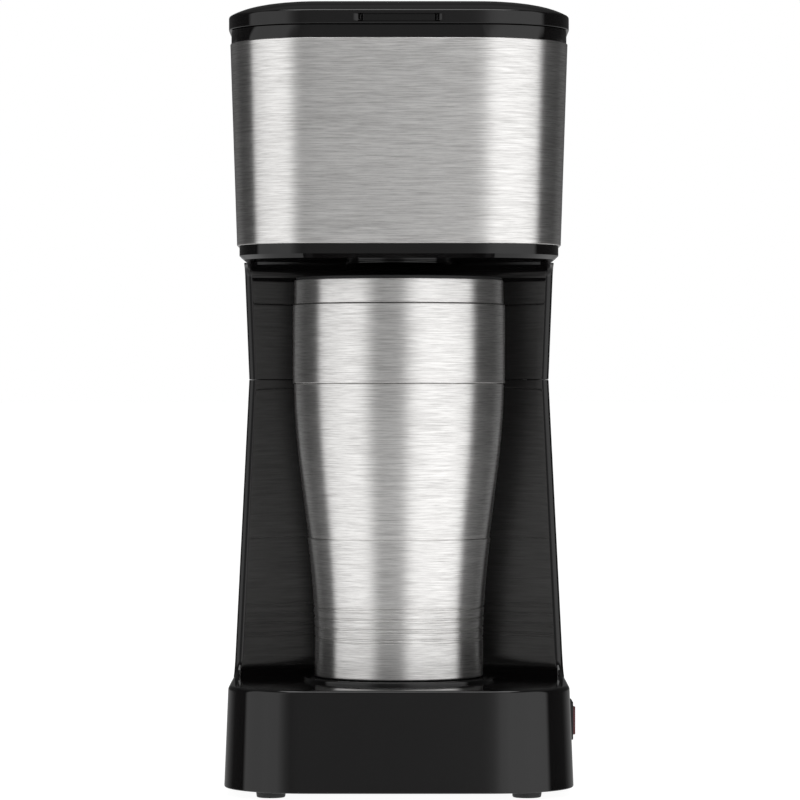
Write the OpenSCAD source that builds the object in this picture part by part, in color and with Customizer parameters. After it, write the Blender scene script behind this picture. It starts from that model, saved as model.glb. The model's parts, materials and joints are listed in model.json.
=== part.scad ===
// Single-serve drip coffee maker with its travel tumbler.
// Millimetres, +Z up, front towards -Y. The origin is on the table, under the middle of the footprint.

/* [Outline] */
// Half width of the core outline that every casing is offset from
core_half_w = 60.4; // [60:0.2:60.6]
// Half depth of the core outline
core_half_d = 78.5; // [78:0.5:79]
// Corner radius of the core outline
core_r = 26; // [25:0.5:27]
// How much larger the corner radius of the column and head is than the base's
head_shift = 4; // [3:0.5:4]
// Wall thickness of the moulded casings
wall = 2.5; // [2:0.25:2.5]

/* [Heights] */
// Height of the rubber feet
foot_h = 3; // [2:0.5:3]
// Height of the base's deck
deck_z = 40.4; // [40:0.2:41]
// Height of the waist, where the lower and upper housings meet
waist_z = 153.6; // [150:0.2:155]
// Height of the underside of the head
head_z = 197.8; // [197.6:0.1:198]
// Lower edge of the steel wrap
steel_z0 = 203; // [203:0.1:203.2]
// Upper edge of the steel wrap
steel_z1 = 277.7; // [277.6:0.1:277.8]
// Upper face of the top frame, where the lid sits
frame_z = 282.4; // [282.2:0.1:282.6]
// Upper edge of the lid's side wall
lid_edge_z = 287.4; // [287:0.2:288]
// Top of the lid's crown
top_z = 296; // [295:0.5:297]

/* [Draft] */
// Outward offset of the casing at the bottom of the base
base_low_out = 4.5; // [4:0.5:4.5]
// Outward offset at the deck
base_high_out = 3; // [3:0.5:3.5]
// Outward offset at the foot of the column
column_low_out = 2.6; // [2.4:0.1:2.8]
// Outward offset at the waist
waist_out = -2.6; // [-2.8:0.1:-2.4]
// Outward offset at the top of the column
column_high_out = -0.9; // [-1.1:0.1:-0.7]
// Outward offset of the steel wrap's lower edge
steel_low_out = -0.1; // [-0.2:0.1:0]
// Outward offset of the steel wrap's upper edge
steel_high_out = 2.4; // [2.3:0.1:2.5]
// Outward offset of the lid
lid_out = 2.9; // [2.8:0.1:3]
// Thickness of the steel wrap
steel_t = 0.8; // [0.6:0.1:0.8]

/* [Niche] */
// Radius of the hollow column front at the waist
niche_r = 150; // [149:0.5:151]
// Distance from the middle of the footprint back to the column front at the waist
niche_y = 25; // [24.8:0.1:25.2]
// Size of the blend between the column front and the deck
niche_blend = 5; // [4:0.5:5]

/* [Tumbler] */
// Distance of the tumbler's axis in front of the middle of the footprint
cup_fwd = 21; // [20.5:0.5:21.5]
// Radius of the tumbler's lower end
cup_low_r = 31.7; // [31.5:0.1:32]
// Radius of the tumbler under its collar
cup_high_r = 39.55; // [39.5:0.05:39.6]
// Radius of the collar
collar_r = 40; // [39.9:0.1:40.2]
// Height of the collar's lower edge
collar_z0 = 152.1; // [152:0.1:152.4]
// Height of the collar's upper edge
collar_z1 = 181.7; // [181.6:0.1:181.8]
// Radius of the lid's steel skirt
skirt_r = 39.4; // [39.2:0.1:39.4]
// Height of the tumbler with its lid on
cup_top_z = 192.1; // [192:0.1:192.3]

/* [Brewing] */
// Outer radius of the brew funnel
funnel_r = 37; // [36.8:0.1:37]
// Radius of the drip outlet under the head
outlet_r = 20; // [18:1:22]
// Outer radius of the water hoses
hose_r = 4.5; // [4.4:0.1:4.5]
// Outer radius of the metal water pipes and nipples
pipe_r = 2.9; // [2.8:0.1:2.9]

/* [Switch] */
// Length of the switch's flange
switch_l = 21; // [20.5:0.5:21.5]
// Height of the switch's flange
switch_h = 14; // [14:0.2:14.4]
// Tilt of the rocker to each side
rocker_tilt = 9; // [8:0.5:9]

/* [Hinge] */
// Radius of the lid's hinge pins
pin_r = 1.22; // [1.2:0.01:1.22]
// Radius of the bores that the pins run in
pin_bore_r = 1.27; // [1.27:0.01:1.3]

/* [Hidden] */
eps = 0.05;
gap = 0.3;
round_fn = 64;
shell_fn = 64;
corner_x = core_half_w - core_r;
corner_y = core_half_d - core_r;
niche_cy = niche_y - niche_r;
blend_h = 5;
niche_low_r = niche_r - 4.3;
niche_high_r = niche_r - 1.3;
floor_z = head_z + 0.5;
plug_out = -6.3;
inner_low_out = steel_low_out - steel_t - 0.4;
inner_high_out = steel_high_out - steel_t - 0.4;
front_rib = 4.6;
rear_rib = 6.2;
frame_out = 1.7;
trim_out = -1;
trim_chamfer_h = 1.5;
trim_chamfer_in = 1.8;
switch_x = 64.4;
cover_out = 1.5;
hose_bore_r = pipe_r + 0.1;
tank_x = 55;
tank_r = 24;
tank_corner_y = 73.5 - tank_r;
cold_x = -22;
hose_y = 50;
hot_x = 46;
bend_r = 10;
pipe_z = 20;
leg_x = 22;
leg_end_y = 30;
hose_end_y = 25.4;
gland_x = -28;
lead_x = 56.9;
lead_y = 63.2;
lead_z = 33.5;
lead_end_x = 46.4;
hinge_y = 64;
hinge_z = 288.5;
knuckle_r = 2.8;
lid_back_y = 63;
cup_y = -cup_fwd;
switch_y = -10;
switch_z = 24.6;
pivot_x = switch_x - 3.5;
seam_z = 93.9;
groove_zs = [56.8, 60.6, 64.4, 68.1];
housing_screw_pos = [[-30, 31], [30, 31], [-30, 66], [30, 66]];
cover_screw_pos = [[-52, -45], [52, -45], [-52, 58], [52, 58]];
strap_ys = [-28, 8];

// ---------- shared shapes ----------

// Children repeated at the four corners of the core outline, drawn in by shift
module corners(shift = 0) {
    for (sx = [-1, 1])
        for (sy = [-1, 1])
            translate([sx * (corner_x - shift), sy * (corner_y - shift), 0])
                children();
}

// Plan outline offset by out from the core outline, with true arcs
module plan(out, shift = 0) {
    square([2 * (corner_x - shift), 2 * (core_half_d + out)], center = true);
    square([2 * (core_half_w + out), 2 * (corner_y - shift)], center = true);
    corners(shift)
        circle(r = core_r + shift + out, $fn = round_fn);
}

// Straight slab of the plan outline
module slab(z0, z1, out, shift = 0) {
    translate([0, 0, z0])
        linear_extrude(z1 - z0)
            plan(out, shift);
}

// Straight slab with the rounder corners of the column and head
module head_slab(z0, z1, out) {
    slab(z0, z1, out, head_shift);
}

// Drafted block whose offset runs from out0 at z0 to out1 at z1
module drafted(z0, z1, out0, out1, shift = 0) {
    hull()
        corners(shift)
            translate([0, 0, z0])
                cylinder(h = z1 - z0, r1 = core_r + shift + out0, r2 = core_r + shift + out1,
                    $fn = shell_fn);
}

// Drafted block with the rounder corners of the column and head
module head_block(z0, z1, out0, out1) {
    drafted(z0, z1, out0, out1, head_shift);
}

// Upright cone about the niche's axis
module niche_cone(z0, z1, r0, r1) {
    translate([0, niche_cy, z0])
        cylinder(h = z1 - z0, r1 = r0, r2 = r1, $fn = 180);
}

// Column block: a drafted block with the hollow niche front taken out
module column_part(z0, z1, out0, out1, r0, r1) {
    difference() {
        head_block(z0, z1, out0, out1);
        niche_cone(z0 - eps, z1 + eps, r0, r1);
    }
}

// Upright tube
module tube(z0, z1, r_out, r_in) {
    translate([0, 0, z0])
        difference() {
            cylinder(h = z1 - z0, r = r_out, $fn = round_fn);
            translate([0, 0, -eps])
                cylinder(h = z1 - z0 + 2 * eps, r = r_in, $fn = round_fn);
        }
}

// Round bar or tube segment along an axis: "x" or "y", starting at the origin
module bar(dir, len, r) {
    rotate(dir == "x" ? [0, 90, 0] : [-90, 0, 0])
        cylinder(h = len, r = r, $fn = round_fn);
}

// Quarter bend of a tube in the XY plane, from (bend_r, 0) to (0, bend_r)
module quarter_bend(r_out, r_in) {
    rotate_extrude(angle = 90, $fn = 96)
        translate([bend_r, 0])
            difference() {
                circle(r = r_out, $fn = round_fn);
                circle(r = r_in, $fn = round_fn);
            }
}

// Screw with a pan head, its point up, head underside at z = 0
module screw(len, shaft_r, head_r, head_h) {
    cylinder(h = len, r = shaft_r, $fn = 32);
    translate([0, 0, -head_h])
        difference() {
            cylinder(h = head_h, r = head_r, $fn = 32);
            for (a = [0, 90])
                rotate(a)
                    translate([-head_r * 0.6, -0.4, -eps])
                        cube([head_r * 1.2, 0.8, head_h * 0.5]);
        }
}

// ---------- lower housing and what it holds ----------

module lower_housing() {
    color("#1b1b1d") {
        difference() {
            union() {
                drafted(foot_h, deck_z, base_low_out, base_high_out);
                column_part(deck_z - eps, deck_z + blend_h, base_high_out - 0.2, column_low_out,
                    niche_low_r - niche_blend, niche_low_r);
                column_part(deck_z + blend_h, waist_z, column_low_out, waist_out,
                    niche_low_r, niche_r);
            }
            drafted(foot_h - eps, deck_z - wall, base_low_out - wall, base_high_out - wall);
            difference() {
                head_block(deck_z - wall - 1, waist_z + eps, column_low_out - wall, waist_out - wall);
                niche_cone(deck_z - wall - 2, waist_z + 1, niche_low_r + wall, niche_r + wall);
            }
            translate([core_half_w - 8, switch_y - 9.7, switch_z - 6.6])
                cube([20, 19.4, 13.2]);
            translate([gland_x, core_half_d - 5, pipe_z])
                bar("y", 20, 6.1);
        }
        for (p = cover_screw_pos)
            translate([p[0], p[1], 0])
                tube(foot_h + 2.9, deck_z - wall + eps, 3.5, 1.4);
        for (x = [-62.2, 54])
            translate([x, 57, foot_h + 3])
                cube([8.2, 2, 23]);
        for (x = [-40, 40])
            for (y = strap_ys)
                translate([x, y, 0])
                    tube(7.9, deck_z - wall + eps, 3.5, 1.4);
        for (p = housing_screw_pos) {
            translate([p[0], p[1], 0])
                tube(waist_z - 18, waist_z - eps, 4, 1.4);
            boss_rib(p, waist_z - 18, 17.9);
        }
    }
}

// Rib that ties a housing screw's boss to the column's front or back wall
module boss_rib(p, z, h) {
    front = p[1] < hose_y;
    translate([p[0] - 1.5, p[1] + (front ? -3.4 - front_rib : 2.5), z])
        cube([3, front ? front_rib : rear_rib, h]);
}

module bottom_cover() {
    color("#19191b")
        difference() {
            slab(foot_h + 0.2, foot_h + 2.7, cover_out);
            for (p = cover_screw_pos)
                translate([p[0], p[1], 0]) {
                    cylinder(h = 20, r = 1.6, $fn = 32);
                    cylinder(h = foot_h + 1.6, r = 3.1, $fn = 32);
                }
            corners_of_feet()
                cylinder(h = 20, r = 2.7, $fn = 32);
            for (i = [-3:3])
                translate([i * 9 - 1.5, 20, 0])
                    cube([3, 34, 10]);
        }
}

// Children repeated at the four feet
module corners_of_feet() {
    for (x = [-47, 47])
        for (y = [-63, 63])
            translate([x, y, 0])
                children();
}

module rubber_feet() {
    color("#2a2a2a")
        corners_of_feet() {
            cylinder(h = foot_h + 0.2, r1 = 5.2, r2 = 5.7, $fn = round_fn);
            cylinder(h = foot_h + 2.7, r = 2.6, $fn = round_fn);
            translate([0, 0, foot_h + 2.8])
                cylinder(h = 1.2, r1 = 3.2, r2 = 2.2, $fn = round_fn);
            translate([0, 0, foot_h + 2])
                cylinder(h = 1, r = 2.2, $fn = round_fn);
        }
}

module cover_screws() {
    color("silver")
        for (p = cover_screw_pos)
            translate([p[0], p[1], foot_h + 1.6])
                screw(14, 1.35, 2.8, 1.3);
}

module housing_screws() {
    color("silver")
        for (p = housing_screw_pos)
            translate([p[0], p[1], waist_z + 6.1])
                mirror([0, 0, 1])
                    screw(20, 1.35, 2.8, 1.6);
}

module mug_rest() {
    color("#202022")
        translate([0, cup_y, deck_z])
            difference() {
                cylinder(h = 1.1, r = 36, $fn = 128);
                for (r = [10, 18, 26, 33])
                    rotate_extrude($fn = 128)
                        translate([r, 0.7])
                            square([1, 1]);
            }
}

module cable_gland() {
    color("#202022")
        translate([gland_x, 0, pipe_z])
            difference() {
                union() {
                    translate([0, 74, 0])
                        bar("y", 10.4, 6);
                    translate([0, 82.8, 0])
                        bar("y", 1.6, 8);
                }
                translate([0, 70, 0])
                    bar("y", 20, 3.5);
            }
}

module gland_nut() {
    color("#303032")
        translate([gland_x, 76, pipe_z])
            difference() {
                rotate([-90, 0, 0])
                    cylinder(h = 3, r = 8.5, $fn = 6);
                translate([0, -1, 0])
                    bar("y", 6, 6.05);
            }
}

module switch_frame() {
    color("#151516")
        translate([0, switch_y, switch_z])
            difference() {
                union() {
                    translate([switch_x, -switch_l / 2, -switch_h / 2])
                        cube([1.4, switch_l, switch_h]);
                    translate([switch_x - 14, -9.6, -6.5])
                        cube([15, 19.2, 13]);
                }
                translate([switch_x - 10, -9.05, -5.6])
                    cube([20, 18.1, 11.2]);
                for (y = [-6, 0, 6])
                    translate([switch_x - 16, y - 2.5, -0.5])
                        cube([10, 5, 1]);
                translate([pivot_x, 0, -6.4])
                    cylinder(h = 12.8, r = 1.25, $fn = 32);
            }
}

module switch_rocker() {
    color("#7a1020")
        translate([pivot_x, switch_y, switch_z])
            rotate(rocker_tilt)
                difference() {
                    union() {
                        translate([0, 0, -5.3])
                            linear_extrude(10.6)
                                polygon([[1, -8.2], [4.6, -8.2], [3.8, 0], [4.6, 8.2], [1, 8.2],
                                    [-2.4, 3], [-2.4, -3]]);
                        translate([0, 0, -6.3])
                            cylinder(h = 12.6, r = 1.2, $fn = 32);
                    }
                    translate([-3, -2, -2])
                        cube([2.5, 4, 4]);
                }
}

module switch_terminals() {
    color("#c8a850")
        for (y = [-6, 0, 6])
            translate([switch_x - 22, switch_y + y - 2.4, switch_z - 0.4])
                difference() {
                    cube([13, 4.8, 0.8]);
                    translate([2.5, 2.4, -eps])
                        cylinder(h = 2, r = 0.8, $fn = 24);
                }
}

// ---------- heater ----------

// Flat U path solid: two legs towards +Y and a half ring at the front
module u_path(z, r) {
    for (x = [-leg_x, leg_x])
        translate([x, -35, z])
            bar("y", leg_end_y + 35, r);
    translate([0, -35, z])
        rotate([0, 0, 180])
            rotate_extrude(angle = 180, $fn = 128)
                translate([leg_x, 0])
                    circle(r = r, $fn = round_fn);
}

module heater_block() {
    color("#b9bbbd")
        difference() {
            translate([0, 0, 8])
                union() {
                    for (x = [-leg_x, leg_x])
                        translate([x - 7.5, -35, 0])
                            cube([15, 60, 19]);
                    translate([0, -35, 0])
                        rotate([0, 0, 180])
                            rotate_extrude(angle = 180, $fn = 128)
                                translate([leg_x - 7.5, 0])
                                    square([15, 19]);
                    translate([-15, -24, 12])
                        cube([30, 24, 7]);
                }
            u_path(pipe_z + 2, pipe_r + 0.05);
            u_path(12.5, 3.25);
        }
}

module heater_water_tube() {
    color("silver")
        difference() {
            u_path(pipe_z + 2, pipe_r);
            for (x = [-leg_x, leg_x])
                translate([x, leg_end_y - 20, pipe_z + 2])
                    bar("y", 30, 2.1);
        }
}

module heating_element() {
    color("#6f7173")
        u_path(12.5, 3.2);
}

module heater_terminals() {
    color("#c8a850")
        for (x = [-leg_x, leg_x])
            translate([x - 2.4, leg_end_y, 12.1])
                difference() {
                    cube([4.8, 11, 0.8]);
                    translate([2.4, 8.4, -eps])
                        cylinder(h = 2, r = 0.8, $fn = 24);
                }
}

module heater_straps() {
    color("silver")
        for (y = strap_ys)
            difference() {
                translate([-44, y - 5, 6.7])
                    cube([88, 10, 1.2]);
                for (x = [-40, 40])
                    translate([x, y, 0])
                        cylinder(h = 20, r = 1.6, $fn = 32);
            }
}

module strap_screws() {
    color("silver")
        for (x = [-40, 40])
            for (y = strap_ys)
                translate([x, y, 6.65])
                    screw(12, 1.35, 2.6, 0.8);
}

module thermostat() {
    color("#d8d2c4")
        translate([0, -12, 27.1]) {
            cylinder(h = 6.5, r = 7.5, $fn = round_fn);
            for (s = [-1, 1])
                translate([s * 9 - 3, -2.4, 4])
                    cube([6, 4.8, 0.8]);
        }
}

module thermal_fuse() {
    color("#e8e4d8") {
        translate([-leg_x, -4, 29.5])
            bar("y", 16, 2.2);
        for (y = [-12, 11])
            translate([-leg_x, y, 29.5])
                bar("y", 9, 0.5);
    }
}

// ---------- water path ----------

module cold_hoses() {
    color("#dedede") {
        translate([cold_x, hose_y, 0])
            tube(87, 202, hose_r, hose_bore_r);
        translate([cold_x, hose_y, 0])
            tube(pipe_z + 2 + bend_r, 60, hose_r, hose_bore_r);
        translate([cold_x, hose_y - bend_r, pipe_z + 2 + bend_r])
            rotate([-90, 0, 90])
                quarter_bend(hose_r, hose_bore_r);
        translate([cold_x, hose_end_y, pipe_z + 2])
            difference() {
                bar("y", hose_y - bend_r - hose_end_y, hose_r);
                translate([0, -1, 0])
                    bar("y", 30, hose_bore_r);
            }
    }
}

module hot_hose() {
    color("#dedede") {
        translate([leg_x, hose_end_y, pipe_z + 2])
            difference() {
                bar("y", hose_y - bend_r - hose_end_y, hose_r);
                translate([0, -1, 0])
                    bar("y", 30, hose_bore_r);
            }
        translate([leg_x + bend_r, hose_y - bend_r, pipe_z + 2])
            rotate(90)
                quarter_bend(hose_r, hose_bore_r);
        translate([leg_x + bend_r, hose_y, pipe_z + 2])
            difference() {
                bar("x", hot_x - leg_x - 2 * bend_r, hose_r);
                translate([-1, 0, 0])
                    bar("x", 30, hose_bore_r);
            }
        translate([hot_x - bend_r, hose_y, pipe_z + 2 + bend_r])
            rotate([90, 0, 0])
                rotate(-90)
                    quarter_bend(hose_r, hose_bore_r);
        translate([hot_x, hose_y, 0])
            tube(pipe_z + 2 + bend_r, 272, hose_r, hose_bore_r);
    }
}

module check_valve_body() {
    color("#e9e9e6")
        translate([cold_x, hose_y, 0])
            difference() {
                union() {
                    translate([0, 0, 62])
                        cylinder(h = 23, r = 7, $fn = round_fn);
                    translate([0, 0, 52])
                        cylinder(h = 43, r = pipe_r, $fn = round_fn);
                }
                translate([0, 0, 51])
                    cylinder(h = 50, r = 2, $fn = round_fn);
                translate([0, 0, 67])
                    cylinder(h = 12, r = 4.4, $fn = round_fn);
                for (a = [0:60:300])
                    rotate(a)
                        translate([3, 0, 64])
                            cylinder(h = 4, r = 0.6, $fn = 24);
                translate([0, 0, 63.6])
                    cylinder(h = 2, r = 4, $fn = round_fn);
            }
}

module check_ball() {
    color("#c9c9cc")
        translate([cold_x, hose_y, 70.6])
            sphere(r = 3.4, $fn = round_fn);
}

module hose_clamp() {
    difference() {
        union() {
            cylinder(h = 5, r = 5.4, $fn = round_fn);
            translate([-2.5, 4, 0])
                cube([5, 4.2, 5]);
        }
        translate([0, 0, -1])
            cylinder(h = 8, r = hose_r + 0.05, $fn = round_fn);
        translate([-0.6, 0, -1])
            cube([1.2, 10, 8]);
    }
}

module hose_clamps() {
    color("#8f9194") {
        for (z = [54, 88, 194])
            translate([cold_x, hose_y, z])
                hose_clamp();
        translate([hot_x, hose_y, 264])
            hose_clamp();
        for (x = [-leg_x, leg_x])
            translate([x, 26, pipe_z + 2])
                rotate([-90, 0, 0])
                    rotate(180)
                        hose_clamp();
    }
}

// Insulated wire that follows points along straight runs with round corners
module wire_run(points, r) {
    for (k = [0:len(points) - 2])
        segment(points[k], points[k + 1], r);
    for (k = [1:len(points) - 2])
        translate(points[k])
            sphere(r = r, $fn = 32);
}

// Round bar from point a to point b, which differ along one axis only
module segment(a, b, r) {
    d = b - a;
    translate(a)
        if (d[2] != 0)
            translate([0, 0, min(0, d[2])])
                cylinder(h = abs(d[2]), r = r, $fn = 32);
        else if (d[0] != 0)
            translate([min(0, d[0]), 0, 0])
                bar("x", abs(d[0]), r);
        else
            translate([0, min(0, d[1]), 0])
                bar("y", abs(d[1]), r);
}

module supply_leads() {
    color("#3a5fa8")
        wire_run([[gland_x, 74, pipe_z], [gland_x, lead_y, pipe_z], [gland_x, lead_y, lead_z],
            [lead_x, lead_y, lead_z], [lead_x, 4, lead_z], [lead_end_x, 4, lead_z],
            [lead_end_x, 4, switch_z], [lead_end_x, -1.5, switch_z]], 1.2);
}

// ---------- upper housing and what it holds ----------

module upper_housing() {
    color("#1b1b1d") {
        difference() {
            union() {
                column_part(waist_z, head_z, waist_out, column_high_out, niche_r, niche_high_r);
                difference() {
                    head_slab(head_z - 2.5, floor_z + eps, plug_out);
                    niche_cone(0, 300, niche_high_r, niche_high_r);
                }
                head_slab(floor_z, steel_z0 + 0.4, plug_out);
                head_block(steel_z0 + 0.3, steel_z1 - 0.2, inner_low_out, inner_high_out);
            }
            difference() {
                head_block(waist_z - eps, head_z - 2.5, waist_out - wall, column_high_out - wall);
                niche_cone(waist_z - 1, head_z, niche_r + wall, niche_high_r + wall);
            }
            head_slab(floor_z + 2.6, steel_z0 + 3.5, plug_out - wall);
            head_block(steel_z0 + 0.3 + wall, steel_z1, inner_low_out - wall, inner_high_out - wall);
            translate([-34, 40, head_z - 6])
                cube([88, 20, 12]);
            translate([0, cup_y, head_z - 6])
                cylinder(h = 20, r = 6.4, $fn = round_fn);
        }
        for (p = housing_screw_pos) {
            translate([p[0], p[1], 0])
                tube(waist_z + eps, waist_z + 6, 4, 1.6);
            boss_rib(p, waist_z + eps, 5.9);
        }
    }
}

module head_lower_trim() {
    color("#1d1d20")
        difference() {
            union() {
                head_slab(head_z + trim_chamfer_h, steel_z0, trim_out);
                head_block(head_z, head_z + trim_chamfer_h, trim_out - trim_chamfer_in, trim_out);
            }
            head_slab(head_z - 1, steel_z0 + 1, -6);
        }
}

module steel_wrap() {
    color("#c3c3c1")
        difference() {
            head_block(steel_z0, steel_z1, steel_low_out, steel_high_out);
            head_block(steel_z0 - eps, steel_z1 + eps, steel_low_out - steel_t, steel_high_out - steel_t);
        }
}

module top_frame() {
    color("#1d1d20") {
        difference() {
            union() {
                difference() {
                    head_slab(steel_z1, frame_z, frame_out);
                    head_slab(steel_z1 + 2.8, frame_z + 1, -0.4);
                    head_slab(steel_z1 - 1, steel_z1 + 0.8, -1.5);
                }
                difference() {
                    intersection() {
                        head_slab(steel_z1 + 2.7, hinge_z - 0.5, frame_out);
                        translate([-80, hinge_y + 3.5, steel_z1])
                            cube([160, 30, 20]);
                    }
                    intersection() {
                        head_slab(steel_z1 + 1, hinge_z - 2.5, -0.1);
                        translate([-80, hinge_y + 6, steel_z1])
                            cube([160, 30, 20]);
                    }
                }
                for (x = [-47, -34, 31, 44]) {
                    translate([x, hinge_y, hinge_z])
                        bar("x", 3, knuckle_r);
                    translate([x, hinge_y - knuckle_r, steel_z1 + 2.7])
                        cube([3, 2 * knuckle_r, hinge_z - steel_z1 - 2.7]);
                    translate([x, hinge_y, steel_z1 + 2.7])
                        cube([3, 4, hinge_z - steel_z1 - 3.2]);
                }
            }
            for (x = [-49, 29])
                translate([x, hinge_y, hinge_z])
                    bar("x", 20, pin_bore_r);
            translate([0, cup_y, 0])
                cylinder(h = 400, r = funnel_r + 0.3, $fn = 128);
            translate([-50, 22, steel_z1 - 1])
                cube([84, 36, 10]);
            translate([hot_x, hose_y, 0])
                cylinder(h = 400, r = 5.2, $fn = round_fn);
        }
    }
}

module water_tank() {
    color([0.75, 0.78, 0.8, 0.6])
        difference() {
            union() {
                translate([0, 0, 206.2])
                    linear_extrude(69.8)
                        tank_plan(0);
                translate([cold_x, hose_y, 192])
                    cylinder(h = 15, r = pipe_r, $fn = round_fn);
            }
            translate([0, 0, 208.2])
                linear_extrude(80)
                    tank_plan(1.8);
            translate([cold_x, hose_y, 190])
                cylinder(h = 30, r = 2, $fn = round_fn);
        }
}

// Tank outline, drawn in by inset
module tank_plan(inset) {
    translate([-tank_x + inset, 16.6 + inset])
        square([93 - 2 * inset, tank_corner_y - 16.6 - inset]);
    translate([tank_r - tank_x, 16.6 + inset])
        square([93 - tank_r - inset, 56.9 - 2 * inset]);
    translate([tank_r - tank_x, tank_corner_y])
        circle(r = tank_r - inset, $fn = 96);
}

module tank_seal() {
    color("#b04a3a")
        translate([cold_x, hose_y, 0])
            tube(202.4, 206.1, 7, 3);
}

module riser_spout() {
    color("#e9e9e6")
        translate([hot_x, hose_y, 0])
            difference() {
                union() {
                    translate([0, 0, 262])
                        cylinder(h = 18, r = pipe_r, $fn = round_fn);
                    translate([0, 0, 276])
                        cylinder(h = 2.3, r = 6.5, $fn = round_fn);
                    translate([0, 0, 278])
                        cylinder(h = 3, r = 4.2, $fn = round_fn);
                }
                translate([0, 0, 260])
                    cylinder(h = 30, r = 2, $fn = round_fn);
            }
}

module brew_funnel() {
    color("#28282a")
        translate([0, cup_y, 0])
            rotate_extrude($fn = 128)
                polygon([[4, 196.9], [6, 196.9], [6, 207], [funnel_r, 221], [funnel_r, 277],
                    [funnel_r - 2, 277], [funnel_r - 2, 270], [funnel_r - 3.6, 270],
                    [funnel_r - 3.6, 222.4], [4, 209.4]]);
}

module drip_outlet() {
    color("#1d1d20")
        translate([0, cup_y, 0])
            rotate_extrude($fn = 128)
                polygon([[7, 196.6], [9, 196.2], [17, 196.2], [outlet_r, 197], [outlet_r, floor_z - 0.1],
                    [7, floor_z - 0.1]]);
}

module filter_frame() {
    color("#3a2f28")
        translate([0, cup_y, 0]) {
            tube(270.2, 273.2, 34.6, 31.5);
            translate([0, 0, 226])
                difference() {
                    cylinder(h = 2, r = 23.4, $fn = round_fn);
                    translate([0, 0, -1])
                        cylinder(h = 4, r = 20, $fn = round_fn);
                }
            difference() {
                for (a = [0:60:120])
                    rotate(a)
                        translate([-32.6, -1.2, 226])
                            cube([65.2, 2.4, 44.3]);
                translate([0, 0, 225])
                    cylinder(h = 46, r1 = 20.6, r2 = 30, $fn = round_fn);
                translate([0, 0, 225])
                    difference() {
                        cylinder(h = 46, r = 60, $fn = round_fn);
                        cylinder(h = 46, r1 = 23.3, r2 = 32.7, $fn = round_fn);
                    }
            }
        }
}

module filter_mesh() {
    color("#c9b27a")
        translate([0, cup_y, 0])
            difference() {
                translate([0, 0, 228.1])
                    cylinder(h = 42, r1 = 21, r2 = 29.6, $fn = 128);
                translate([0, 0, 229.1])
                    cylinder(h = 42, r1 = 20.4, r2 = 29, $fn = 128);
            }
}

// ---------- lid ----------

// Thin ring of the lid's crown, inset from its edge by i
module crown_ring(i, z, h) {
    shift = max(head_shift, i - 24);
    corners(shift)
        translate([0, 0, z])
            cylinder(h = h, r = core_r + lid_out - i + shift, $fn = 48);
}

// Height of the crown at inset i from the edge
function crown_z(i) = lid_edge_z + (top_z - lid_edge_z) * pow(i / 50, 0.45);

// Solid of the lid's outside, drawn in by shell
module crown(z0, shell) {
    hull() {
        crown_ring(shell, z0, lid_edge_z - z0 - shell);
        for (i = [1.2, 4, 9, 18, 32, 50])
            crown_ring(i + shell, crown_z(i) - 0.4 - shell, 0.4);
    }
}

module lid_cover() {
    color("#1d1d20") {
        difference() {
            intersection() {
                crown(frame_z + gap, 0);
                translate([-80, -100, frame_z])
                    cube([160, 100 + lid_back_y, 30]);
            }
            difference() {
                intersection() {
                    crown(frame_z, 2.3);
                    translate([-80, -100, frame_z - 1])
                        cube([160, 158.5, 30]);
                }
                translate([-22, -85, frame_z - 1])
                    cube([44, 13, 8]);
            }
            translate([0, -core_half_d - lid_out - 30, frame_z - 1])
                cylinder(h = 4.8, r = 34, $fn = 128);
            for (x = [-47.3, -34.3, 30.7, 43.7])
                translate([x, hinge_y - knuckle_r - gap, frame_z - 1])
                    cube([3.6, 10, 20]);
            for (x = [-43.7, 34.3])
                translate([x - 0.1, hinge_y, hinge_z])
                    bar("x", 9.6, pin_bore_r);
        }
        for (x = [-43.7, 34.3])
            translate([x, hinge_y, hinge_z])
                difference() {
                    bar("x", 9.4, knuckle_r);
                    translate([-1, 0, 0])
                        bar("x", 12, pin_bore_r);
                }
    }
}

module hinge_pins() {
    color("silver")
        for (x = [-47, 31])
            translate([x, hinge_y, hinge_z])
                bar("x", 16, pin_r);
}

module lid_panel() {
    color("#242427")
        difference() {
            intersection() {
                head_slab(frame_z + 0.6, frame_z + 2, 0.1);
                translate([-80, -100, frame_z])
                    cube([160, 158.2, 10]);
            }
            translate([-22.3, -85, frame_z - 1])
                cube([44.6, 13.3, 8]);
            translate([hot_x, hose_y, frame_z - 1])
                cylinder(h = 5, r = 2.2, $fn = 32);
            translate([0, cup_y, frame_z - 1])
                cylinder(h = 5, r = 2.2, $fn = 32);
        }
}

module lid_duct() {
    duct_len = norm([hot_x, hose_y - cup_y]);
    duct_a = atan2(hose_y - cup_y, hot_x);
    color("#3a3a3d")
        translate([0, cup_y, frame_z + 2.05])
            rotate(duct_a)
                difference() {
                    union() {
                        translate([0, -6, 0])
                            cube([duct_len, 12, 3.4]);
                        for (x = [0, duct_len])
                            translate([x, 0, 0])
                                cylinder(h = 3.4, r = 6, $fn = round_fn);
                    }
                    translate([-1, -4, -1])
                        cube([duct_len + 2, 8, 3.4]);
                }
}

module lid_seal() {
    color("#b04a3a")
        translate([hot_x, hose_y, 0])
            tube(281.3, frame_z + 0.55, 6, 2.5);
}

module shower_plate() {
    color("#3a3a3d")
        translate([0, cup_y, 0])
            difference() {
                union() {
                    translate([0, 0, 279.4])
                        cylinder(h = 1.4, r = 33, $fn = 128);
                    translate([0, 0, 280])
                        cylinder(h = frame_z + 0.55 - 280, r = 9, $fn = round_fn);
                }
                translate([0, 0, 280.4])
                    cylinder(h = 5, r = 6.5, $fn = round_fn);
                for (ring = [[3.5, 60], [24, 30], [14, 45]])
                    for (a = [0:ring[1]:359])
                        rotate(a)
                            translate([ring[0], 0, 270])
                                cylinder(h = 20, r = 0.9, $fn = 24);
            }
}

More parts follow.
